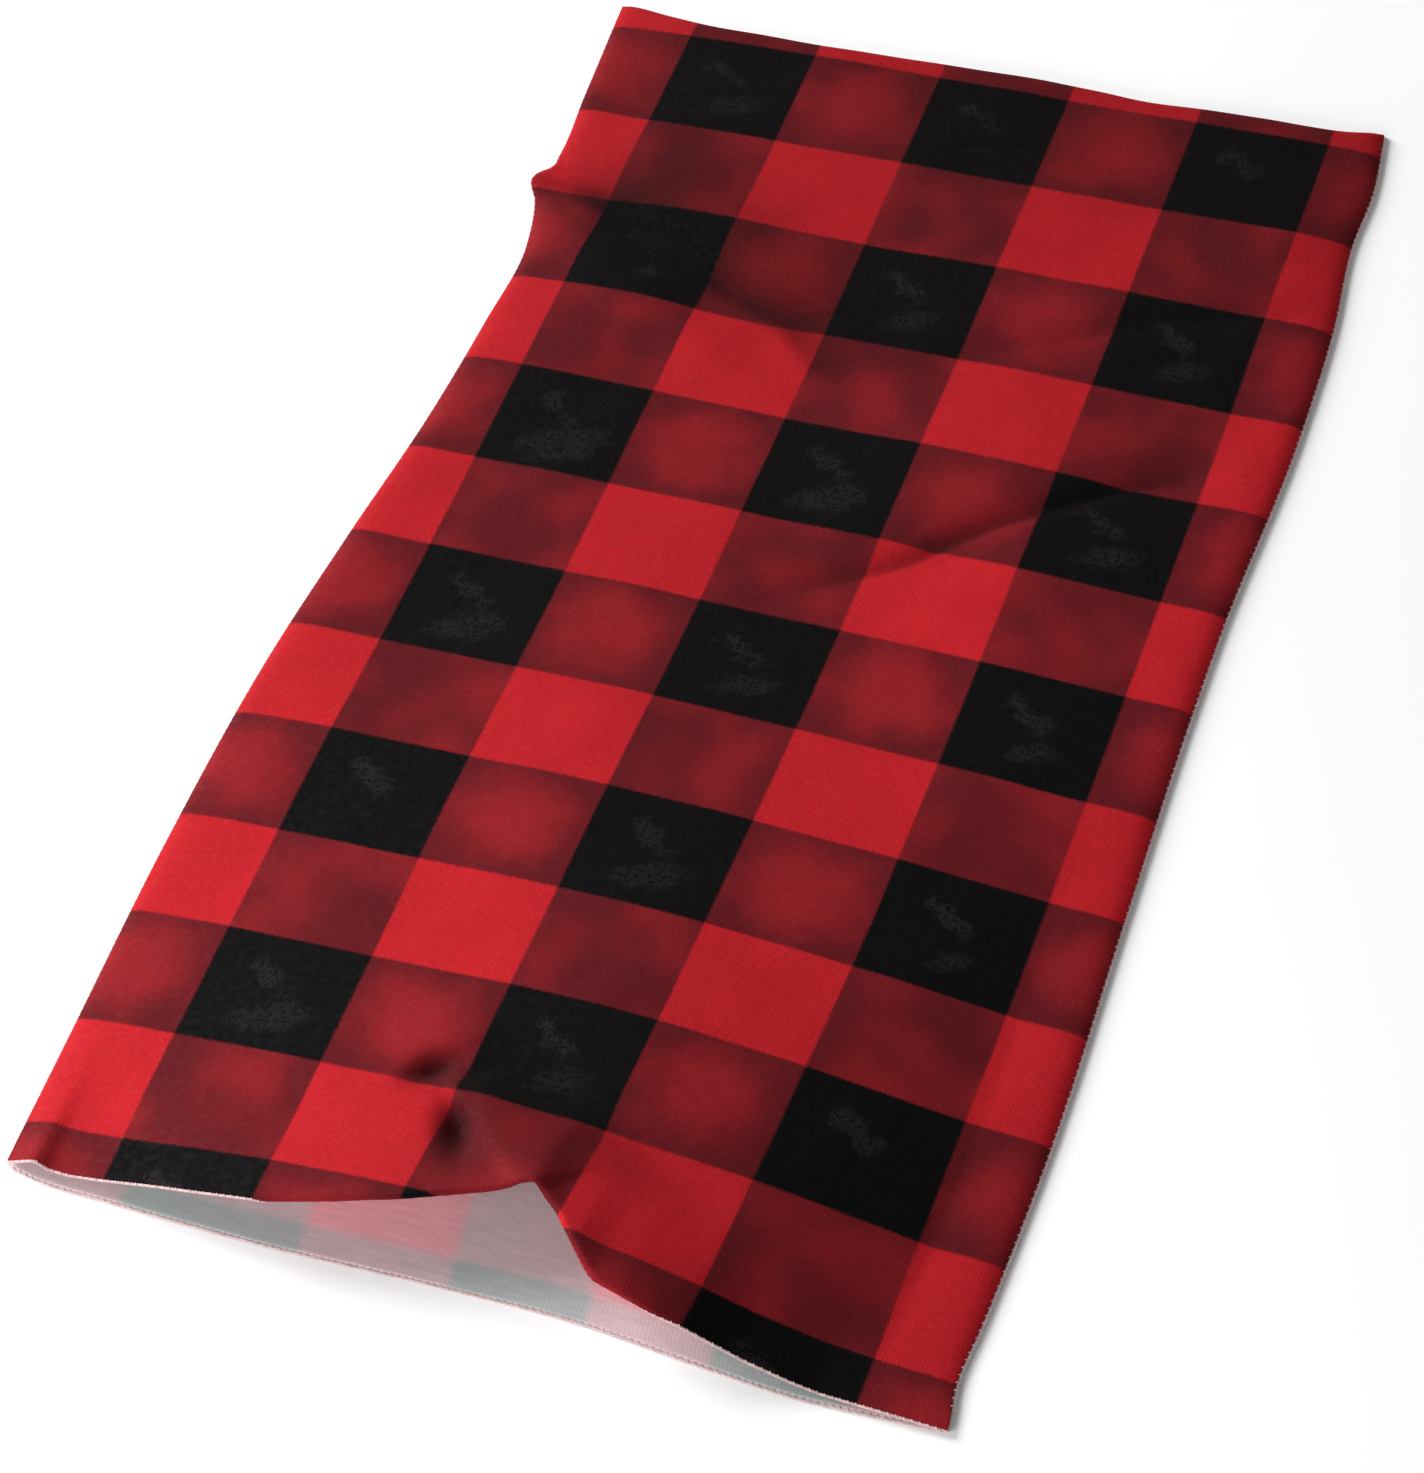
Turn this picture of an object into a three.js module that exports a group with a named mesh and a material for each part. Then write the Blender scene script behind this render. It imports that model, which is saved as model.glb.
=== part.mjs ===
// Neck gaiter: a knit tube laid flat, sewn from a front and a back panel.
// Millimetres. +X across the tube, +Y from the lifted mouth to the far end, +Z up.
// The back panel rests on z = 0 and the origin is the middle of the base.
import * as THREE from 'three';
import { mergeVertices } from 'three/addons/utils/BufferGeometryUtils.js';

// Driving sizes
const LENGTH = 450;          // cut length of both panels
const MOUTH_WIDTH = 256;     // panel width at the near mouth
const FAR_WIDTH = 239;       // panel width at the far end
const CLOTH = 0.8;           // thickness of one brushed knit panel
const EDGING = 1.6;          // how far an overlock edging stands out past the cloth
const SEAM = 1.6;            // width of a side seam's thread bead
const CLEARANCE = 0.3;       // gap between neighbouring pieces

// How the soft tube lies
const LOFT = 6.5;            // air between the panels along the middle
const LOFT_POWER = 4;        // how square the arch of the front panel is
const MOUTH_SKEW = 7;        // the mouth's left corner lies this much further back
const WAIST = 8;             // the left side is drawn in by a diagonal crease
const WAIST_PLACE = 0.72;    // share of the length, from the mouth
const WAIST_SPREAD = 0.24;
const LIFT_REACH = 150;      // how far back from the mouth the lifted rim fades out

// Rim of the lifted mouth on the front panel, left to right:
// share of the width, how far the rim is drawn back, how high it is lifted above the arch
const RIM = [
  [0.00, 0, 0],
  [0.10, 0, 1],
  [0.26, 1, 9],
  [0.43, 10, 12.5],
  [0.56, 23, 19],
  [0.60, 17, 18],
  [0.67, 4, 13],
  [0.76, 0, 8],
  [0.85, 0, 1.5],
  [0.93, 0, 0],
  [1.00, 0, 0],
];

// Fineness of the bent sheets
const STEPS_ACROSS = 36;
const STEPS_ALONG = 26;
const SEAM_STEPS = 26;
const BEAD_SIDES = 8;

// Colours of the printed knit, the threads and how the finish behaves
const PRINT_RED = 0x9e1b23;
const PRINT_RED_BACK = 0x7d161d;
const THREAD_PINK = 0xd9b4b6;

const cloth = (color) => new THREE.MeshStandardMaterial({ color, roughness: 0.9, metalness: 0 });
const thread = () => new THREE.MeshStandardMaterial({ color: THREAD_PINK, roughness: 0.75, metalness: 0 });

// ---- the laid shape ----------------------------------------------------------------------------

const halfWidth = (along) => THREE.MathUtils.lerp(MOUTH_WIDTH, FAR_WIDTH, along) / 2;

function leftSide(along) {
  const fromWaist = (along - WAIST_PLACE) / WAIST_SPREAD;
  return -halfWidth(along) + WAIST * Math.exp(-fromWaist * fromWaist);
}

const rightSide = halfWidth;

// Plan position of a point, by its shares across and along the panel
function plan(across, along) {
  const x = THREE.MathUtils.lerp(leftSide(along), rightSide(along), across);
  const mouth = -LENGTH / 2 + MOUTH_SKEW * (1 - across);
  return new THREE.Vector2(x, THREE.MathUtils.lerp(mouth, LENGTH / 2, along));
}

// Draw-back and lift of the mouth's rim, eased between the points of RIM
function rimOffset(across) {
  const next = Math.max(1, RIM.findIndex(([share]) => share >= across));
  const [fromShare, fromBack, fromLift] = RIM[next - 1];
  const [toShare, toBack, toLift] = RIM[next];
  const t = (across - fromShare) / (toShare - fromShare);
  return {
    back: THREE.MathUtils.lerp(fromBack, toBack, t),
    lift: THREE.MathUtils.lerp(fromLift, toLift, t),
  };
}

// Underside of the front panel
function frontPoint(across, along) {
  const { x, y } = plan(across, along);
  const arch = LOFT * (1 - Math.abs(2 * across - 1) ** LOFT_POWER);
  const fade = Math.max(0, 1 - (along * LENGTH) / LIFT_REACH) ** 2;
  const rim = rimOffset(across);
  return new THREE.Vector3(x, y + rim.back * fade, CLOTH + CLEARANCE + arch + rim.lift * fade);
}

// Underside of the back panel, flat on the surface below
function backPoint(across, along) {
  const { x, y } = plan(across, along);
  return new THREE.Vector3(x, y, 0);
}

// ---- solids ------------------------------------------------------------------------------------

// Moves every vertex of a unit solid, centred on the origin, to where place(x, y, z) puts it
function bend(geometry, place) {
  geometry.deleteAttribute('normal');
  geometry.deleteAttribute('uv');
  const position = geometry.attributes.position;
  for (let i = 0; i < position.count; i += 1) {
    const point = place(position.getX(i), position.getY(i), position.getZ(i));
    position.setXYZ(i, point.x, point.y, point.z);
  }
  const merged = mergeVertices(geometry, 1e-4);
  merged.computeVertexNormals();
  return merged;
}

// A panel: a thin box bent so that its underside follows surface(across, along)
function panel(surface, stepsAcross) {
  const box = new THREE.BoxGeometry(1, 1, 1, stepsAcross, STEPS_ALONG, 1);
  return bend(box, (x, y, z) => {
    const point = surface(x + 0.5, y + 0.5);
    point.z += (z + 0.5) * CLOTH;
    return point;
  });
}

// A thread bead: a cylinder laid along path(share), flattened to width (in plan) by height
function bead(path, steps, width, height, outward) {
  const rod = new THREE.CylinderGeometry(0.5, 0.5, 1, BEAD_SIDES, steps);
  const reach = 1e-3;
  return bend(rod, (x, y, z) => {
    const share = y + 0.5;
    const centre = path(share);
    const ahead = path(Math.min(1, share + reach));
    const tangent = ahead.sub(path(Math.max(0, share - reach))).normalize();
    const upright = new THREE.Vector3().crossVectors(tangent, outward).normalize();
    if (upright.z < 0) upright.negate();
    const side = new THREE.Vector3().crossVectors(tangent, upright);
    return centre.addScaledVector(side, x * width).addScaledVector(upright, z * height);
  });
}

// Overlock edging outside the cut end of a panel, as thick as the cloth
function endEdging(surface, along, steps) {
  const outward = new THREE.Vector3(0, along === 0 ? -1 : 1, 0);
  const path = (across) => surface(across, along)
    .addScaledVector(outward, CLEARANCE + EDGING / 2)
    .add(new THREE.Vector3(0, 0, CLOTH / 2));
  return bead(path, steps, EDGING, CLOTH, outward);
}

// Side seam bead outside both panels, as high as the two cloths and the gap between them
function sideSeam(across) {
  const outward = new THREE.Vector3(across === 0 ? -1 : 1, 0, 0);
  const height = 2 * CLOTH + CLEARANCE;
  const path = (along) => backPoint(across, along)
    .addScaledVector(outward, CLEARANCE + SEAM / 2)
    .add(new THREE.Vector3(0, 0, height / 2));
  return bead(path, SEAM_STEPS, SEAM, height, outward);
}

// ---- assembly ----------------------------------------------------------------------------------

const gaiter = new THREE.Group();

function addPiece(name, geometry, material) {
  const mesh = new THREE.Mesh(geometry, material);
  mesh.name = name;
  gaiter.add(mesh);
}

addPiece('front_panel', panel(frontPoint, STEPS_ACROSS), cloth(PRINT_RED));
addPiece('back_panel', panel(backPoint, 1), cloth(PRINT_RED_BACK));
addPiece('left_side_seam', sideSeam(0), thread());
addPiece('right_side_seam', sideSeam(1), thread());
addPiece('front_mouth_edging', endEdging(frontPoint, 0, STEPS_ACROSS), thread());
addPiece('back_mouth_edging', endEdging(backPoint, 0, 1), thread());
addPiece('front_far_edging', endEdging(frontPoint, 1, STEPS_ACROSS), thread());
addPiece('back_far_edging', endEdging(backPoint, 1, 1), thread());

export default gaiter;
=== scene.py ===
import math

import bpy
import numpy as np
from mathutils import Matrix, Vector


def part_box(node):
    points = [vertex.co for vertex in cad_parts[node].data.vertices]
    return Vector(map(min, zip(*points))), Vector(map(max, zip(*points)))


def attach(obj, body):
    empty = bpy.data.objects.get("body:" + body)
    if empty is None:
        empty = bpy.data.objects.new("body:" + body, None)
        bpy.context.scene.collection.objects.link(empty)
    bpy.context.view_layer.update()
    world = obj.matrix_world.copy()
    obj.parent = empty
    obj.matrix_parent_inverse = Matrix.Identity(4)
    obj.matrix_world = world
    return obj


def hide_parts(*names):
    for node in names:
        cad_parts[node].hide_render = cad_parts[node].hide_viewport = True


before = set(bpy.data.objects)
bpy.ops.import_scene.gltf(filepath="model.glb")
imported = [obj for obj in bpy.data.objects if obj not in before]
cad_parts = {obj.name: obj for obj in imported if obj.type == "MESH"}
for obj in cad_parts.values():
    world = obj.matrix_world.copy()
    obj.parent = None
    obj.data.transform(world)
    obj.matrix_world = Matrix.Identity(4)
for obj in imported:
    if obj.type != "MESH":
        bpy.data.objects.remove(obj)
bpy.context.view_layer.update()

# ---- sizes --------------------------------------------------------------------------------------
# Lengths are millimetres in the CAD frame: +X across, +Y from the mouth to the far end, +Z up.
MM = 0.001
back_low, back_high = (np.array(corner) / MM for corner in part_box("back_panel"))

LENGTH = back_high[1] - back_low[1]          # cut length of both panels
MOUTH_WIDTH = back_high[0] - back_low[0]     # panel width at the mouth
FAR_WIDTH = 239.0                            # panel width at the far end

# Cut ends by share of the width: y of each cut at the mouth, and how far both far cuts dip
# toward the mouth from the line between their corners
FRONT_CUT = [(0, -217.2), (1, -226.4)]
BACK_CUT = [(0, -217.2), (0.03, -219.0), (0.125, -220.4), (0.28, -221.6), (0.48, -220.9), (0.62, -221.3),
            (0.75, -224.7), (0.85, -226.8), (0.92, -226.5), (1, -225.6)]
FAR_DIP = [(0, -0.8), (0.03, 0.2), (0.062, 1.6), (0.111, 3.3), (0.2, 3.9), (0.33, 4.1), (0.45, 3.1),
           (0.6, 2.7), (0.64, 2.9), (0.69, 3.7), (0.78, 3.0), (0.85, 2.7), (0.91, 2.9), (0.96, 1.9),
           (1, -0.6)]

CLOTH = 0.7                                  # thickness of the knit

# The printed check, in shares of the width and millimetres of the length
FIRST_COLUMN = (0.106, 0.1095)               # left side of the first black column, mouth and far end
COLUMN_PITCH = (0.1617, 0.166)
FIRST_ROW = 9.9                              # far edge to the first black row
ROW_PITCH = 35.6
WIDE_COLUMN, WIDE_ROW = 1.012, 1.042         # width of the black columns and rows, in pitches
# The back panel's print: its columns where they cross the mouth's cut, as (x, column number)
BACK_FIRST_ROW = 14.4
BACK_COLUMNS = [(-128, -0.7), (-94.4, 0), (-45.2, 1), (-4.4, 2), (32.1, 3), (66.3, 4), (101, 5), (135, 6)]
BACK_LEAN = 0.13                             # how far the back's columns lean to the left

# Pitch of the knit's wales and courses, on the printed face and on its reverse
PRINTED_KNIT, REVERSE_KNIT = (0.95, 0.8), (1.1, 0.75)

# Overlock thread: its diameter, then for the edgings and for the side seams the stitches' pitch,
# how far a stitch reaches across the edge and leans along it, and the radius and place outside
# the edge of the cord of looper threads
THREAD = 0.22
EDGE_STITCH, EDGE_REACH, EDGE_LEAN = 1.9, 0.32, 0.22
EDGE_CORD, EDGE_CORD_OUT, EDGE_LOOP_OUT = 0.36, 0.15, 0.1
SEAM_STITCH, SEAM_REACH, SEAM_LEAN = 2.2, 0.55, 0.2
SEAM_CORD, SEAM_CORD_OUT = 0.5, 0.3
STITCHED_WIDTH, STITCHED_LENGTH = 0.985, 0.975   # shares that carry stitches

# Outward deviation of each side from the straight line between its corners: (y, outward)
LEFT_SIDE = [(-225, 0), (-180, 1.2), (-110, 3), (-45, 2), (5, -2.2), (50, -6.8), (90, -8.8), (122, -9.2),
             (140, -4.6), (149.5, -0.4), (151, -0.9), (154.5, -4.3), (160, -4.8), (185, -3), (225, 0)]
RIGHT_SIDE = [(-225, 0), (-214, -1.6), (-196, -0.4), (-144, 1.8), (-70, 1.2), (0, 0.7), (30, 1.1),
              (100, 4.5), (146, 4.0), (180, 1.4), (200, 2.3), (225, 0)]

# Resting heights of the front panel's middle surface
SEAM_HEIGHT = 1.15
ROLL_HEIGHT = 1.8                            # the cloth rolls up this much beside each seam
ROLL_WIDTH = 2.6
ARCH_HEIGHT = 0.6                            # along the whole tube
MOUTH_ARCH = 17.5                            # at the open mouth
MOUTH_ARCH_START = 13 - LENGTH / 2           # it is full up to this y
MOUTH_ARCH_REACH = 272.0                     # the mouth's arch fades out this far back
MOUTH_ARCH_SPAN = 0.93                       # share of the width, from the left, that it spans

# Rim of the mouth, left to right: share of the width, shift to the right, how far it is drawn
# back, its height, and how much of the cloth is turned under
RIM = [
    (0.000, 0.5, 0.2, 1.5, 0.0),
    (0.018, 0.3, 0.0, 4.4, 0.0),
    (0.037, 0.0, 0.0, 6.8, 0.0),
    (0.050, 0.4, 0.0, 4.3, 0.0),
    (0.072, 1.0, 0.0, 4.3, 0.0),
    (0.107, 2.1, 0.0, 6.6, 0.0),
    (0.181, 3.2, 0.0, 12.0, 0.0),
    (0.268, 4.3, 0.3, 17.6, 0.5),
    (0.360, 2.0, 0.8, 20.2, 5.2),
    (0.429, 0.3, 1.0, 21.0, 10.2),
    (0.510, 0.1, 1.0, 21.5, 18.6),
    (0.558, 0.0, 1.0, 22.8, 23.7),
    (0.591, -0.8, 1.0, 22.3, 18.3),
    (0.630, -3.3, 1.0, 23.3, 10.5),
    (0.665, -5.3, 0.8, 21.8, 3.2),
    (0.692, -5.1, 0.6, 21.0, 2.0),
    (0.753, -4.6, 0.3, 16.3, 0.3),
    (0.810, -3.3, 0.1, 8.3, 0.0),
    (0.854, -2.5, 0.0, 4.4, 0.0),
    (0.882, -2.2, 0.0, 2.7, 0.0),
    (0.912, -1.8, 0.0, 2.3, 0.0),
    (1.000, 0.0, 0.0, 1.5, 0.0),
]
SHIFT, BACK, HEIGHT, TUCK = 1, 2, 3, 4       # columns of RIM
RIM_REACH = 45.0                             # the rim's own shape fades out this far behind it
SHIFT_REACH = 140.0                          # and its shift this far
RIM_ROUNDING = 0.8                           # of the rim's corners
TUCK_RADIUS = 0.6                            # of the fold
FAR_CURL = 1.5                               # the cut far edge curls down over this width
FAR_CURL_RADIUS = 0.9

# Unevenness of the front panel: the height, seed and pitch of each set of waves. It fades in
# over UNEVEN_IN from the sides.
UNEVEN = [(0.55, 4, 95), (0.16, 9, 34)]
UNEVEN_IN = 22
# The back panel's gap to the floor, and how much it rises unevenly inside its sides
FLOOR_GAP = 0.02
BACK_RISE, BACK_SEED, BACK_PITCH, BACK_RISE_IN = 0.22, 21, 60, 25

# Lines along the front panel's creases, each from its deep end, as (x, y)
LEFT_FOLD = [(-119, 152), (-96, 143), (-57, 120), (-24, 105), (2, 88)]
LEFT_SHADE = [(-105, 148), (-96, 143), (-78, 132), (-62, 124), (-51, 119), (-26, 109), (-14, 97), (6, 84)]
NOTCH_SHADE = [(-126, 150), (-100, 146), (-86, 140)]
RIGHT_FOLD = [(100, 80), (84, 71), (56, 51), (36, 31), (14, 16), (-6, 6)]
UPPER_FOLD = [(112, 146), (100, 142), (67, 130), (29, 110), (5, 98)]
PEAK_RIDGE = [(14, -201), (-2, -187), (-18, -173)]
MOUTH_VALLEY = [(-18, -163), (9, -171), (20, -178), (50, -185), (66, -200)]
MOUTH_SHADE = [(-15, -161), (9, -171), (20, -178), (50, -185), (60, -195)]
FAR_DENT, NEAR_DENT = (-26.5, -168), (-13, -185.5)

# Creases: line, depth, widths left and right of the line, and the shares of the line over which
# the crease deepens and runs out. A negative depth is a ridge.
CREASES = [
    (LEFT_FOLD, 1.7, 8, 12, 0.02, 0.5),
    (RIGHT_FOLD, 0.9, 1.6, 7, 0.25, 0.4),
    (RIGHT_FOLD, 0.8, 12, 4, 0.25, 0.4),
    (UPPER_FOLD, 0.6, 3, 7, 0.2, 0.5),
    (PEAK_RIDGE, -2.0, 3.5, 10, 0.02, 0.12),
    (MOUTH_VALLEY, 1.6, 9, 9, 0.1, 0.5),
]
# Bumps and dents: place, height, the two spreads and their turn in degrees
MOUNDS = [
    ((-70, 108), 0.8, (42, 10), -30),
    ((-60, 146), 0.8, (40, 12), -30),
    (FAR_DENT, -3.2, (6.5, 4), 46),
    (NEAR_DENT, -3.6, (9.5, 4.2), -68),
    ((-18, -172.5), 1.2, (3, 3), 0),
]

# Painted shade on the front panel's printed colour along creases, given as in CREASES, and in spots
# and broad areas, given as in MOUNDS. Instead of a depth or height each has its darkness; a negative one is
# painted light.
PAINTED_CREASE_SHADE = [
    (LEFT_SHADE, 0.50, 32, 4, 0.15, 0.45),
    (LEFT_SHADE, 0.50, 8, 3, 0.1, 0.5),
    (NOTCH_SHADE, 0.35, 2.5, 5, 0.05, 0.3),
    (RIGHT_FOLD, 0.48, 1.6, 3.5, 0.3, 0.5),
    (RIGHT_FOLD, 0.22, 3, 16, 0.3, 0.5),
    (UPPER_FOLD, 0.26, 2.2, 8, 0.2, 0.5),
    (MOUTH_SHADE, 0.30, 6, 8, 0.1, 0.5),
]
# Painted shade in the two dents by the mouth, at the far end and near right; painted light over broad areas
# on the right and near left
PAINTED_SHADE_SPOTS = [
    (FAR_DENT, 0.75, (7.5, 4.5), 46),
    (NEAR_DENT, 0.75, (10, 4.5), -68),
    ((60, 215), 0.22, (200, 60), -5),
    ((95, -170), 0.12, (50, 60), 0),
    ((-75, -130), -0.16, (55, 110), 0),
    ((70, 15), -0.22, (45, 60), 0),
    ((70, -95), -0.14, (45, 50), 0),
]


# ---- curves -------------------------------------------------------------------------------------

def smooth_line(x, points):
    """A smooth curve through (x, value) points."""
    px, value = np.array(points, float).T
    slope = np.gradient(value, px)
    i = np.clip(np.searchsorted(px, x) - 1, 0, len(px) - 2)
    step = px[i + 1] - px[i]
    t = np.clip((x - px[i]) / step, 0, 1)
    start = (1 + 2 * t) * (1 - t) ** 2 * value[i] + t * (1 - t) ** 2 * step * slope[i]
    end = t * t * (3 - 2 * t) * value[i + 1] - t * t * (1 - t) * step * slope[i + 1]
    return start + end


def ease(x, low, high):
    """0 below low, 1 above high, smooth between."""
    t = np.clip((x - low) / (high - low), 0, 1)
    return t * t * (3 - 2 * t)


def mound(x, y, place, spread, turn):
    """A smooth bump of height 1 at place."""
    c, s = math.cos(math.radians(turn)), math.sin(math.radians(turn))
    dx, dy = x - place[0], y - place[1]
    return np.exp(-((c * dx + s * dy) / spread[0]) ** 2 - ((c * dy - s * dx) / spread[1]) ** 2)


def crease(x, y, path, left_width, right_width, deepens, runs_out):
    """A valley of depth 1 along a path."""
    path = np.array(path, float)
    steps = np.diff(path, axis=0)
    lengths = np.hypot(*steps.T)
    starts = np.concatenate([[0], np.cumsum(lengths)])
    best, side, share = (np.full(np.shape(x), value) for value in (np.inf, 0.0, 0.0))
    for (px, py), (sx, sy), length, start in zip(path, steps, lengths, starts):
        t = ((x - px) * sx + (y - py) * sy) / length ** 2
        inside = np.clip(t, 0, 1)
        away = np.hypot(x - px - inside * sx, y - py - inside * sy)
        cross = sx * (y - py) - sy * (x - px)
        closer = away < best
        best = np.where(closer, away, best)
        side = np.where(closer, cross, side)
        share = np.where(closer, (start + t * length) / starts[-1], share)
    width = np.where(side > 0, left_width, right_width)
    window = ease(share, -deepens, deepens) * (1 - ease(share, 1 - runs_out, 1.05))
    return window * np.exp(-(best / width) ** 2)


def waves(x, y, seed, pitch, count=7):
    """Gentle unevenness between about -1 and 1, the same each run."""
    draw = np.random.default_rng(seed)
    total = np.zeros(np.shape(x))
    for _ in range(count):
        angle, phase = draw.uniform(0, math.pi), draw.uniform(0, 2 * math.pi)
        scale = 2 * math.pi / (pitch * draw.uniform(0.7, 1.5))
        total += np.sin(scale * (x * math.cos(angle) + y * math.sin(angle)) + phase)
    return total / math.sqrt(count)


# ---- the laid shape -----------------------------------------------------------------------------

def side_x(y, right):
    share = y / LENGTH + 0.5
    half = (MOUTH_WIDTH * (1 - share) + FAR_WIDTH * share) / 2
    if right:
        return half + smooth_line(y, RIGHT_SIDE)
    return -half - smooth_line(y, LEFT_SIDE)


def plan(u, m, cuts):
    """Flat place of the point at share u of the width, m from the mouth's cut."""
    cut = smooth_line(u, cuts)
    y = cut + m * (LENGTH / 2 - smooth_line(u, FAR_DIP) - cut) / LENGTH
    return side_x(y, False) * (1 - u) + side_x(y, True) * u, y


def rim_value(u, column):
    """One column of RIM, straight between its points, with slightly rounded corners."""
    table = np.array(RIM)
    shifts = np.array([-1, -0.4, 0.4, 1]) * RIM_ROUNDING / MOUTH_WIDTH
    return sum(np.interp(u + shift, table[:, 0], table[:, column]) for shift in shifts) / len(shifts)


def resting_height(u, y, from_side):
    """Height of the smooth body of the tube, without creases."""
    arch = ARCH_HEIGHT * (1 - np.abs(2 * u - 1) ** 3)
    fade = np.clip((MOUTH_ARCH_START + MOUTH_ARCH_REACH - y) / MOUTH_ARCH_REACH, 0, 1) ** 1.6
    span = np.sin(math.pi * np.clip(u / MOUTH_ARCH_SPAN, 0, 1) ** 1.15)
    roll = ROLL_HEIGHT * (1 - np.exp(-from_side / ROLL_WIDTH))
    return SEAM_HEIGHT + roll + arch + MOUTH_ARCH * fade * span


def body_height(u, x, y):
    from_side = np.maximum(np.minimum(x - side_x(y, False), side_x(y, True) - x), 0)
    height = resting_height(u, y, from_side)
    uneven = sum(tall * waves(x, y, seed, pitch) for tall, seed, pitch in UNEVEN)
    height = height + ease(from_side, 0, UNEVEN_IN) * uneven
    for path, depth, left_width, right_width, deepens, runs_out in CREASES:
        height = height - depth * crease(x, y, path, left_width, right_width, deepens, runs_out)
    for place, tall, spread, turn in MOUNDS:
        height = height + tall * mound(x, y, place, spread, turn)
    return height


def painted_shading(u, m):
    """Painted shade and painted light on the front panel's printed colour, 1 where none is painted."""
    x, y = plan(u, m, FRONT_CUT)
    light = np.ones(np.shape(x))
    for path, dark, left_width, right_width, deepens, runs_out in PAINTED_CREASE_SHADE:
        light = light * (1 - dark * crease(x, y, path, left_width, right_width, deepens, runs_out))
    for place, dark, spread, turn in PAINTED_SHADE_SPOTS:
        light = light * (1 - dark * mound(x, y, place, spread, turn))
    return np.stack([light, np.zeros(np.shape(x))], -1)


def visible_front(u, d):
    """Middle surface of the front panel at distance d behind the fold of its rim."""
    tuck = rim_value(u, TUCK)
    m = tuck + d
    fade = np.clip(1 - d / RIM_REACH, 0, 1) ** 2
    x, y = plan(u, m, FRONT_CUT)
    x = x + rim_value(u, SHIFT) * np.clip(1 - d / SHIFT_REACH, 0, 1) ** 1.5
    y = y + rim_value(u, BACK) * fade
    from_rim_side = np.minimum(u, 1 - u) * MOUTH_WIDTH
    rim_lift = rim_value(u, HEIGHT) - resting_height(u, smooth_line(u, FRONT_CUT) + tuck, from_rim_side)
    height = body_height(u, x, y) + rim_lift * fade
    curl = np.maximum(m - LENGTH + FAR_CURL, 0)
    y = y - curl + FAR_CURL_RADIUS * np.sin(curl / FAR_CURL_RADIUS)
    height = height - FAR_CURL_RADIUS * (1 - np.cos(curl / FAR_CURL_RADIUS))
    return np.stack([x, y, np.maximum(height, SEAM_HEIGHT + 0.3 * ease(from_rim_side, 0, 2))], -1)


def unit(vectors):
    return vectors / np.linalg.norm(vectors, axis=-1, keepdims=True)


def front_middle(u, m):
    """Middle surface of the front panel, with the turned-under part of its rim."""
    tuck = rim_value(u, TUCK)
    under = np.maximum(tuck - m, 0)
    half_turn = math.pi * TUCK_RADIUS
    d = np.where(m >= tuck, m - tuck, np.maximum(under - half_turn, 0))
    nudge = 0.5
    place = visible_front(u, d)
    back = unit(visible_front(u, d + nudge) - place)
    right = visible_front(np.minimum(u + nudge / MOUTH_WIDTH, 1), d)
    across = unit(right - visible_front(np.maximum(u - nudge / MOUTH_WIDTH, 0), d))
    normal = unit(np.cross(across, back))
    angle = np.minimum(under / TUCK_RADIUS, math.pi)[..., None]
    return place + TUCK_RADIUS * ((np.cos(angle) - 1) * normal - np.sin(angle) * back)


def back_middle(u, m):
    """Middle surface of the back panel, lying on the floor."""
    x, y = plan(u, m, BACK_CUT)
    inside = ease(np.minimum(u, 1 - u) * MOUTH_WIDTH, 0, BACK_RISE_IN)
    rise = BACK_RISE * inside * (1 + waves(x, y, BACK_SEED, BACK_PITCH)) / 2
    return np.stack([x, y, CLOTH / 2 + FLOOR_GAP + rise], -1)


# ---- meshes -------------------------------------------------------------------------------------

def new_object(name, vertices, faces, materials, face_materials=None, maps=(), smooth=True):
    mesh = bpy.data.meshes.new(name)
    mesh.from_pydata([tuple(v) for v in np.asarray(vertices) * MM], [], [tuple(f) for f in faces])
    for material in materials:
        mesh.materials.append(material)
    if face_materials is not None:
        mesh.polygons.foreach_set("material_index", np.asarray(face_materials, np.int32))
    if len(maps):
        loops = np.zeros(len(mesh.loops), np.int32)
        mesh.loops.foreach_get("vertex_index", loops)
        for map_name, places in maps:
            layer = mesh.uv_layers.new(name=map_name)
            layer.data.foreach_set("uv", np.asarray(places, np.float32)[loops].ravel())
    mesh.polygons.foreach_set("use_smooth", np.full(len(mesh.polygons), smooth))
    mesh.update()
    obj = bpy.data.objects.new(name, mesh)
    bpy.context.scene.collection.objects.link(obj)
    return obj


def grid_faces(rows, columns, first=0, flip=False):
    i = np.arange(rows * columns).reshape(rows, columns) + first
    quads = np.stack([i[:-1, :-1], i[:-1, 1:], i[1:, 1:], i[1:, :-1]], -1).reshape(-1, 4)
    return quads[:, ::-1] if flip else quads


def straight_share(u, m):
    """Share of the width between the panel's straight sides, before its sides are drawn in or out."""
    x, y = plan(u, m, FRONT_CUT)
    share = y / LENGTH + 0.5
    return x / (MOUTH_WIDTH * (1 - share) + FAR_WIDTH * share) + 0.5


def from_far_end(u, m, cuts):
    """Distance to the straight line between the far corners, on a cloth LENGTH long."""
    cut = smooth_line(u, cuts)
    return LENGTH * (LENGTH / 2 - plan(u, m, cuts)[1]) / (LENGTH / 2 - cut)


def front_print(u, m):
    """Column and row of the printed check, counted from its first black column and row."""
    far = m / LENGTH
    first = FIRST_COLUMN[0] * (1 - far) + FIRST_COLUMN[1] * far
    pitch = COLUMN_PITCH[0] * (1 - far) + COLUMN_PITCH[1] * far
    row = (from_far_end(u, m, FRONT_CUT) - FIRST_ROW) / ROW_PITCH
    return np.stack([(straight_share(u, m) - first) / pitch, row], -1)


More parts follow.
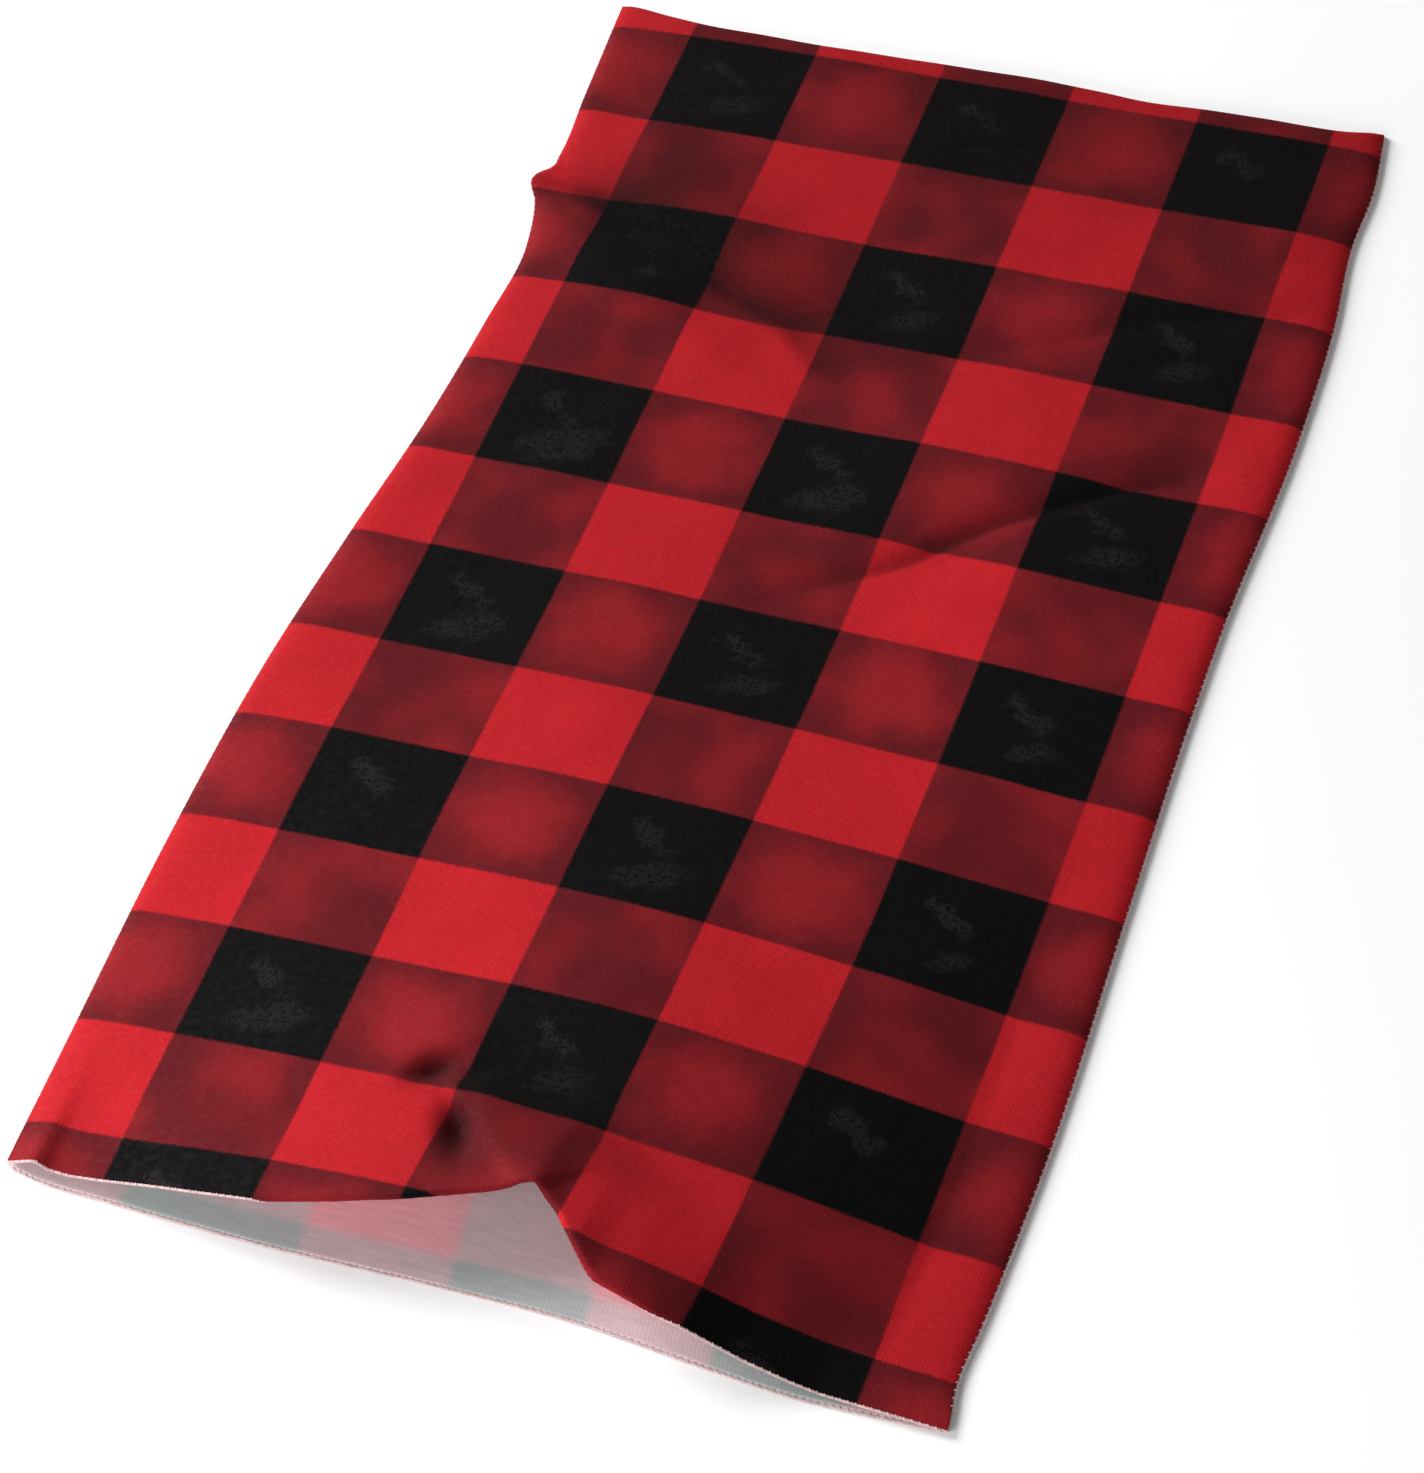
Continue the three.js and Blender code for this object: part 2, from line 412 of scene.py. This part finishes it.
def back_print(u, m):
    """The same for the back panel, whose knit lies unevenly stretched."""
    x, y = plan(u, m, BACK_CUT)
    row = (from_far_end(u, m, BACK_CUT) - BACK_FIRST_ROW) / ROW_PITCH
    return np.stack([smooth_line(x + BACK_LEAN * m, BACK_COLUMNS), row], -1)


def panel(name, middle, places, us, ms, upper_material, lower_material, rim_material):
    """A cloth of thickness CLOTH around the middle surface, as one closed mesh."""
    u, m = np.meshgrid(us, ms)
    centre = middle(u, m)
    across = np.gradient(centre, axis=1)
    along = np.gradient(centre, axis=0)
    normal = unit(np.cross(across, along))
    rows, columns = u.shape
    count = rows * columns
    vertices = np.concatenate([(centre + side * normal * CLOTH / 2).reshape(-1, 3) for side in (1, -1)])
    upper = grid_faces(rows, columns)
    lower = grid_faces(rows, columns, first=count, flip=True)
    i = np.arange(count).reshape(rows, columns)
    edge = np.concatenate([i[0, :-1], i[:-1, -1], i[-1, :0:-1], i[:0:-1, 0]])
    nxt = np.roll(edge, -1)
    rim = np.stack([edge, edge + count, nxt + count, nxt], -1)
    faces = np.concatenate([upper, lower, rim])
    face_materials = np.repeat([0, 1, 2], [len(upper), len(lower), len(rim)])
    places = places(u, m).reshape(-1, 2)
    cloth = np.stack([u * MOUTH_WIDTH, m], -1).reshape(-1, 2) / 100
    # Painted shade and light for the printed colour, carried in its own UV map
    painted_shade_values = painted_shading(u, m).reshape(-1, 2)
    maps = [(map_name, np.concatenate([values, values]))
            for map_name, values in (("print", places), ("cloth", cloth), ("painted_shading", painted_shade_values))]
    materials = [upper_material, lower_material, rim_material]
    return new_object(name, vertices, faces, materials, face_materials, maps)


def tube(points, radius, sides=6, closed=False):
    """Vertices and faces of a round tube along points."""
    points = np.asarray(points, float)
    if closed:
        ahead, behind = np.roll(points, -1, 0), np.roll(points, 1, 0)
    else:
        ahead = np.concatenate([points[1:], points[-1:]])
        behind = np.concatenate([points[:1], points[:-1]])
    tangent = unit(ahead - behind)
    normal = np.zeros_like(points)
    guide = np.array([0.0, 0.0, 1.0]) if abs(tangent[0, 2]) < 0.9 else np.array([1.0, 0.0, 0.0])
    for k, direction in enumerate(tangent):
        guide = guide - direction * guide.dot(direction)
        guide = guide / np.linalg.norm(guide)
        normal[k] = guide
    other = np.cross(tangent, normal)
    turn = np.arange(sides) * 2 * math.pi / sides
    ring = normal[:, None] * np.cos(turn)[None, :, None] + other[:, None] * np.sin(turn)[None, :, None]
    vertices = (points[:, None] + radius * ring).reshape(-1, 3)
    count = len(points)
    faces = []
    for k in range(count if closed else count - 1):
        a, b = k * sides, (k + 1) % count * sides
        faces += [(a + s, a + (s + 1) % sides, b + (s + 1) % sides, b + s) for s in range(sides)]
    if not closed:
        faces.append(tuple(range(sides))[::-1])
        faces.append(tuple(range((count - 1) * sides, count * sides)))
    return vertices, faces


def join(parts):
    vertices, faces, first = [], [], 0
    for some_vertices, some_faces in parts:
        vertices.append(some_vertices)
        faces += [tuple(i + first for i in face) for face in some_faces]
        first += len(some_vertices)
    return np.concatenate(vertices), faces


# ---- materials ----------------------------------------------------------------------------------

def colour(red, green, blue):
    """A displayed colour, 0 to 255, as a linear one."""
    shown = [channel / 255 for channel in (red, green, blue)]
    return tuple(c / 12.92 if c <= 0.04 else ((c + 0.055) / 1.055) ** 2.4 for c in shown) + (1,)


class Nodes:
    """Writes a node material in a few lines."""

    def __init__(self, name):
        self.material = bpy.data.materials.new(name)
        self.material.use_nodes = True
        self.tree = self.material.node_tree
        self.tree.nodes.clear()

    def add(self, kind, inputs=(), **settings):
        node = self.tree.nodes.new("ShaderNode" + kind)
        for key, value in settings.items():
            setattr(node, key, value)
        for key, value in dict(inputs).items():
            self.feed(node.inputs[key], value)
        return node

    def feed(self, socket, value):
        if isinstance(value, bpy.types.NodeSocket):
            self.tree.links.new(value, socket)
        else:
            socket.default_value = value

    def math(self, operation, *values):
        node = self.add("Math", operation=operation)
        for socket, value in zip(node.inputs, values):
            self.feed(socket, value)
        return node.outputs[0]

    def step(self, value, low, high, to_low=0.0, to_high=1.0):
        """Smooth step from to_low to to_high."""
        node = self.add("MapRange", interpolation_type="SMOOTHSTEP")
        for socket, given in zip(node.inputs, (value, low, high, to_low, to_high)):
            self.feed(socket, given)
        return node.outputs[0]

    def mix(self, share, a, b, blend="MIX"):
        node = self.add("Mix", data_type="RGBA", blend_type=blend, clamp_factor=True)
        for socket, value in ((node.inputs[0], share), (node.inputs[6], a), (node.inputs[7], b)):
            self.feed(socket, value)
        return node.outputs[2]

    def noise(self, vector, scale, detail=2.0, roughness=0.5):
        inputs = {"Vector": vector, "Scale": scale, "Detail": detail, "Roughness": roughness}
        return self.add("TexNoise", inputs).outputs[0]

    def split(self, vector):
        return self.add("SeparateXYZ", {0: vector}).outputs[:2]

    def combine(self, x, y, z=0.0):
        return self.add("CombineXYZ", {0: x, 1: y, 2: z}).outputs[0]

    def uv(self, name):
        return self.add("UVMap", uv_map=name).outputs[0]

    def finish(self, base, normal, **settings):
        shader = self.add("BsdfPrincipled", {"Base Color": base, "Normal": normal})
        for key, value in settings.items():
            self.feed(shader.inputs[key.replace("_", " ")], value)
        self.add("OutputMaterial", {"Surface": shader.outputs[0]})
        return self.material


def checks(n, softness):
    """Masks of the black columns and rows, places inside each square, and each square's own number."""
    place = n.uv("print")
    wobble = n.noise(n.uv("cloth"), 190, detail=1)
    across, along = n.split(place)
    masks, insides, cells = [], [], []
    for value, wide in ((across, WIDE_COLUMN), (along, WIDE_ROW)):
        shaken = n.math("ADD", value, n.math("MULTIPLY", n.math("SUBTRACT", wobble, 0.5), 0.03))
        wrapped = n.math("WRAP", n.math("SUBTRACT", shaken, wide / 2), 1.0, -1.0)
        inner = n.math("SUBTRACT", wide / 2, n.math("ABSOLUTE", wrapped))
        masks.append(n.step(inner, -softness, softness))
        insides.append(n.math("FRACT", value))
        cells.append(n.math("FLOOR", value))
    return masks, insides, cells


def knit_height(n, wale, course):
    """Height of a jersey knit: columns of V-shaped stitches, in the cloth map's decimetres."""
    x, y = n.split(n.uv("cloth"))
    column = n.math("MULTIPLY", x, 100 / wale)
    lean = n.math("PINGPONG", column, 0.5)
    row = n.math("ADD", n.math("MULTIPLY", y, 100 / course), lean)
    stitch = n.math("SINE", n.math("MULTIPLY", row, 2 * math.pi))
    valley = n.math("COSINE", n.math("MULTIPLY", column, 2 * math.pi))
    return n.math("ADD", n.math("MULTIPLY", stitch, 0.3), n.math("MULTIPLY", valley, -0.5))


def bump(n, height, strength, distance, normal=None):
    inputs = {"Height": height, "Strength": strength, "Distance": distance}
    if normal is not None:
        inputs["Normal"] = normal
    return n.add("Bump", inputs).outputs[0]


def fluff_mask(n, x, y, own):
    """Grey fluff on a black square: a slanting plume over a fan of its own size in each square."""
    ragged = n.math("MULTIPLY", n.math("SUBTRACT", n.noise(n.combine(x, y, own), 9, detail=3), 0.5), 0.35)
    turned = n.math("ADD", n.math("MULTIPLY", x, -0.63), n.math("MULTIPLY", y, 0.78))
    off_plume = n.math("ADD", n.math("ABSOLUTE", n.math("SUBTRACT", turned, 0.03)), ragged)
    along_plume = n.math("ADD", n.math("MULTIPLY", x, 0.78), n.math("MULTIPLY", y, 0.63))
    ends = n.math("MULTIPLY", n.step(along_plume, 0.34, 0.44), n.step(along_plume, 0.86, 0.70))
    plume = n.math("MULTIPLY", n.step(off_plume, 0.10, 0.02), ends)

    fan_x = n.math("SUBTRACT", x, 0.56)
    fan_y = n.math("ADD", n.math("SUBTRACT", y, 0.74), n.math("MULTIPLY", fan_x, 0.28))
    flattened = n.math("POWER", n.math("MULTIPLY", fan_y, 1.7), 2.0)
    from_fan = n.math("ADD", n.math("SQRT", n.math("ADD", n.math("POWER", fan_x, 2.0), flattened)), ragged)
    size = n.math("MULTIPLY", own, 0.36)
    fan = n.math("MULTIPLY", n.step(n.math("SUBTRACT", from_fan, size), 0.05, -0.12), 0.85)

    grain = n.noise(n.combine(x, n.math("ADD", y, own), own), 34, detail=2, roughness=0.6)
    return n.math("MULTIPLY", n.math("MAXIMUM", plume, fan), n.step(grain, 0.40, 0.50))


def print_material():
    n = Nodes("printed_knit")
    (column, row), (x, y), (cx, cy) = checks(n, 0.012)
    cloth = n.uv("cloth")
    own = n.add("TexWhiteNoise", {"Vector": n.combine(cx, cy)}, noise_dimensions="3D").outputs[0]

    red = colour(*RED)
    mixed = colour(*DARK_RED)
    glow = colour(*GLOW_RED)
    black = colour(*BLACK)

    # Red columns crossed by black rows glow in the middle
    from_middle = n.math("SQRT", n.math("ADD",
                         n.math("POWER", n.math("SUBTRACT", x, 0.5), 2.0),
                         n.math("POWER", n.math("SUBTRACT", y, 0.5), 2.0)))
    patchy = n.noise(cloth, 6, detail=2)
    uneven_edge = n.math("MULTIPLY", n.math("SUBTRACT", patchy, 0.5), 0.5)
    glowing = n.step(n.math("ADD", from_middle, uneven_edge), 0.62, 0.12)
    in_row = n.mix(glowing, mixed, glow)
    in_column = n.mix(n.step(n.noise(cloth, 4, detail=1), 0.36, 0.74), mixed, colour(*WARM_RED))

    no_column = n.mix(row, red, in_row)
    with_column = n.mix(row, in_column, black)
    base = n.mix(column, no_column, with_column)

    marked = n.math("MULTIPLY", n.math("MULTIPLY", fluff_mask(n, x, y, own), column), row)
    base = n.mix(marked, base, colour(*FLUFF))

    # Uneven dye and pale fibres, and painted shade and light along creases, in dents and over broad areas
    uneven = n.step(n.noise(cloth, 3.5, detail=4, roughness=0.6), 0.3, 0.7, 0.93, 1.05)
    across, along = n.split(cloth)
    fibres = n.noise(n.combine(across, n.math("MULTIPLY", along, 0.45)), 160, detail=2)
    fine = n.step(fibres, 0.3, 0.7, 0.90, 1.08)
    shade = n.math("MULTIPLY", n.math("MULTIPLY", uneven, fine), n.split(n.uv("painted_shading"))[0])
    base = n.mix(1.0, base, n.combine(shade, shade, shade), "MULTIPLY")

    normal = bump(n, knit_height(n, *PRINTED_KNIT), 0.09, 0.00025)
    normal = bump(n, n.noise(cloth, 30, detail=3), 0.12, 0.0012, normal)
    rough = n.step(n.noise(cloth, 45, detail=2), 0.3, 0.7, 0.72, 0.9)
    return n.finish(base, normal, Roughness=rough, Sheen_Weight=0.04, Sheen_Roughness=0.4,
                    Sheen_Tint=colour(255, 170, 170), Specular_IOR_Level=0.06)


def reverse_material():
    n = Nodes("knit_reverse")
    (column, row), _, _ = checks(n, 0.05)
    cloth = n.uv("cloth")
    pink, dull, grey = colour(*BACK_PINK), colour(*BACK_DULL), colour(*BACK_GREY)
    base = n.mix(column, n.mix(row, pink, dull), n.mix(row, dull, grey))
    across, along = n.split(cloth)
    streaks = n.combine(n.math("MULTIPLY", across, 0.12), along)
    shade = n.step(n.noise(streaks, 70, detail=3, roughness=0.6), 0.3, 0.7, 0.93, 1.05)
    base = n.mix(1.0, base, n.combine(shade, shade, shade), "MULTIPLY")
    normal = bump(n, knit_height(n, *REVERSE_KNIT), 0.09, 0.00025)
    return n.finish(base, normal, Roughness=0.88, Sheen_Weight=0.15, Sheen_Roughness=0.5,
                    Specular_IOR_Level=0.2)


def rim_material():
    n = Nodes("cut_knit")
    cloth = n.add("TexCoord").outputs["Object"]
    fibres = n.step(n.noise(cloth, 1400, detail=2), 0.35, 0.65)
    base = n.mix(fibres, colour(190, 150, 153), colour(226, 205, 206))
    return n.finish(base, bump(n, n.noise(cloth, 2500), 0.4, 0.0002), Roughness=0.9, Specular_IOR_Level=0.2)


def thread_material(name, light, dark):
    n = Nodes(name)
    place = n.add("TexCoord").outputs["Object"]
    base = n.mix(n.step(n.noise(place, 900, detail=2), 0.3, 0.7), colour(*dark), colour(*light))
    twist = n.noise(place, 4200, detail=1)
    return n.finish(base, bump(n, twist, 0.5, 0.00012), Roughness=0.62, Sheen_Weight=0.2,
                    Specular_IOR_Level=0.35)


def floor_material():
    n = Nodes("floor_paper")
    place = n.add("TexCoord").outputs["Object"]
    shade = n.step(n.noise(place, 3, detail=3), 0.3, 0.7, 0.94, 0.955)
    grain = bump(n, n.noise(place, 500), 0.02, 0.0002)
    return n.finish(n.combine(shade, shade, shade), grain, Roughness=0.9)


RED, DARK_RED, GLOW_RED, WARM_RED = (168, 25, 33), (86, 17, 23), (130, 24, 30), (120, 22, 28)
BLACK, FLUFF = (4, 4, 4), (26, 23, 24)
BACK_PINK, BACK_DULL, BACK_GREY = (234, 168, 175), (206, 182, 186), (172, 178, 176)

printed, reverse, cut_cloth = print_material(), reverse_material(), rim_material()
edging_thread = thread_material("edging_thread", (205, 176, 177), (176, 142, 145))
seam_thread = thread_material("seam_thread", (232, 214, 214), (206, 176, 178))


# ---- panels -------------------------------------------------------------------------------------

def spaced(first, last, spacing):
    return np.linspace(first, last, max(2, round((last - first) / spacing) + 1))


EDGE_BAND = 4.0                              # finer faces within this distance of the edges
RIM_BAND, LIFTED_BAND = 25, 80               # and this far from the mouth: its rim, its lifted part
SIDE_GRID, RIM_GRID, EDGE_GRID = 0.4, 0.45, 1.0
BACK_GRID = 3.0
GRID = 1.5
side_band = EDGE_BAND / MOUTH_WIDTH
us = np.concatenate([spaced(0, side_band, SIDE_GRID / MOUTH_WIDTH)[:-1],
                     spaced(side_band, 1 - side_band, GRID / MOUTH_WIDTH)[:-1],
                     spaced(1 - side_band, 1, SIDE_GRID / MOUTH_WIDTH)])
front_ms = np.concatenate([spaced(0, RIM_BAND, RIM_GRID)[:-1],
                           spaced(RIM_BAND, LIFTED_BAND, EDGE_GRID)[:-1],
                           spaced(LIFTED_BAND, LENGTH - EDGE_BAND, GRID)[:-1],
                           spaced(LENGTH - EDGE_BAND, LENGTH, EDGE_GRID)])
back_ms = np.concatenate([spaced(0, EDGE_BAND, EDGE_GRID)[:-1],
                          spaced(EDGE_BAND, LENGTH - EDGE_BAND, BACK_GRID)[:-1],
                          spaced(LENGTH - EDGE_BAND, LENGTH, EDGE_GRID)])

front = panel("front_knit", front_middle, front_print, us, front_ms, printed, reverse, cut_cloth)
back_us = us[::2] if len(us) % 2 else us
back = panel("back_knit", back_middle, back_print, back_us, back_ms, reverse, printed, cut_cloth)


# ---- stitches -----------------------------------------------------------------------------------

def edging(name, middle, cut):
    """Overlock stitches wrapped round the cut end of a panel, on a fine cord of the looper threads."""
    inward = 1 if cut == 0 else -1
    count = round(MOUTH_WIDTH * STITCHED_WIDTH / EDGE_STITCH)
    u = np.linspace(0.006, 0.994, count * 6 + 1)
    m = np.full_like(u, cut)
    edge = middle(u, m)
    inside = unit(middle(u, m + inward * 1.0) - edge)
    along = unit(np.gradient(edge, axis=0))
    normal = unit(np.cross(along, inside) * inward)
    parts = [tube(edge - inside * EDGE_CORD_OUT, EDGE_CORD, sides=6)]
    turn = np.linspace(0, 2 * math.pi, 13)[:-1]
    across = -EDGE_LOOP_OUT - np.cos(turn) * EDGE_REACH
    along_edge = np.cos(turn) * EDGE_STITCH * EDGE_LEAN
    up = np.sin(turn) * (CLOTH / 2 + THREAD * 0.35)
    for k in range(count):
        at = k * 6 + 3
        loop = edge[at] + np.outer(across, inside[at]) + np.outer(along_edge, along[at]) \
            + np.outer(up, normal[at])
        parts.append(tube(loop, THREAD / 2, sides=5, closed=True))
    vertices, faces = join(parts)
    return new_object(name, vertices, faces, [edging_thread])


def side_seam(name, right):
    """Overlock stitches that bind the two panels along one side."""
    u = 1.0 if right else 0.0
    out = 1 if right else -1
    count = round(LENGTH * STITCHED_LENGTH / SEAM_STITCH)
    m = np.linspace(LENGTH * 0.012, LENGTH * 0.988, count * 4 + 1)
    upper = front_middle(np.full_like(m, u), m)
    lower = back_middle(np.full_like(m, u), m)
    middle = (upper + lower) / 2
    outward = np.array([out, 0.0, 0.0])
    tall = (upper[:, 2] - lower[:, 2]) / 2 + CLOTH / 2 + THREAD * 0.2
    parts = [tube(middle + outward * SEAM_CORD_OUT, SEAM_CORD, sides=6)]
    turn = np.linspace(0, 2 * math.pi, 13)[:-1]
    along = unit(np.gradient(middle, axis=0))
    for k in range(count):
        at = k * 4 + 2
        loop = middle[at] + outward * (np.cos(turn) * SEAM_REACH)[:, None] \
            + along[at] * (np.cos(turn) * SEAM_STITCH * SEAM_LEAN)[:, None] \
            + np.array([0, 0, 1.0]) * (np.sin(turn) * tall[at])[:, None]
        loop[:, 2] = np.maximum(loop[:, 2], THREAD / 2 + 0.01)
        parts.append(tube(loop, THREAD / 2, sides=5, closed=True))
    vertices, faces = join(parts)
    return new_object(name, vertices, faces, [seam_thread])


edgings = {
    "front_mouth_edging": edging("front_mouth_stitches", front_middle, 0.0),
    "front_far_edging": edging("front_far_stitches", front_middle, LENGTH),
    "back_mouth_edging": edging("back_mouth_stitches", back_middle, 0.0),
    "back_far_edging": edging("back_far_stitches", back_middle, LENGTH),
}
seams = {
    "left_side_seam": side_seam("left_seam_stitches", False),
    "right_side_seam": side_seam("right_seam_stitches", True),
}

for node, piece, slot in [("front_panel", front, "front_knit"), ("back_panel", back, "back_knit"),
                          *[(node, piece, "edging_thread") for node, piece in edgings.items()],
                          *[(node, piece, "seam_thread") for node, piece in seams.items()]]:
    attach(piece, "root")
    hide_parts(node)

# ---- the stage ----------------------------------------------------------------------------------

FLOOR = 6000.0
corners = [(-FLOOR, -FLOOR, 0), (FLOOR, -FLOOR, 0), (FLOOR, FLOOR, 0), (-FLOOR, FLOOR, 0)]
floor = new_object("floor", corners, [(0, 1, 2, 3)], [floor_material()], smooth=False)


def look_matrix(place, forward, up):
    forward, up = unit(np.array(forward)), np.array(up)
    right = unit(np.cross(forward, up))
    up = np.cross(right, forward)
    matrix = np.eye(4)
    matrix[:3, 0], matrix[:3, 1], matrix[:3, 2], matrix[:3, 3] = right, up, -forward, np.array(place) * MM
    return Matrix(matrix.tolist())


CAMERA_PLACE = (369.75, -779.8, 1020.6)
CAMERA_FORWARD, CAMERA_UP = (-0.2801, 0.5645, -0.7764), (-0.1991, 0.7571, 0.6222)
LENS = 123.2

camera_data = bpy.data.cameras.new("camera")
camera_data.sensor_fit = "HORIZONTAL"
camera_data.sensor_width = 36
camera_data.lens = LENS
camera_data.clip_end = 20
camera = bpy.data.objects.new("camera", camera_data)
camera.matrix_world = look_matrix(CAMERA_PLACE, CAMERA_FORWARD, CAMERA_UP)
bpy.context.scene.collection.objects.link(camera)
bpy.context.scene.camera = camera


def area_light(name, place, size, power):
    light = bpy.data.lights.new(name, "AREA")
    light.shape, light.size, light.energy = "DISK", size, power
    obj = bpy.data.objects.new(name, light)
    obj.matrix_world = look_matrix(place, -np.array(place), (0, 0.3, 1))
    bpy.context.scene.collection.objects.link(obj)


# The key is low on the left; the other light looks into the open mouth. Sizes in metres, watts.
area_light("key", (-2180, 560, 1180), 1.7, 106)
area_light("mouth", (-280, -760, 300), 0.6, 5.0)

world = bpy.data.worlds.new("studio")
world.use_nodes = True
world.node_tree.nodes["Background"].inputs[0].default_value = (1, 1, 1, 1)
world.node_tree.nodes["Background"].inputs[1].default_value = 0.26
bpy.context.scene.world = world
bpy.context.scene.view_settings.view_transform = "Standard"
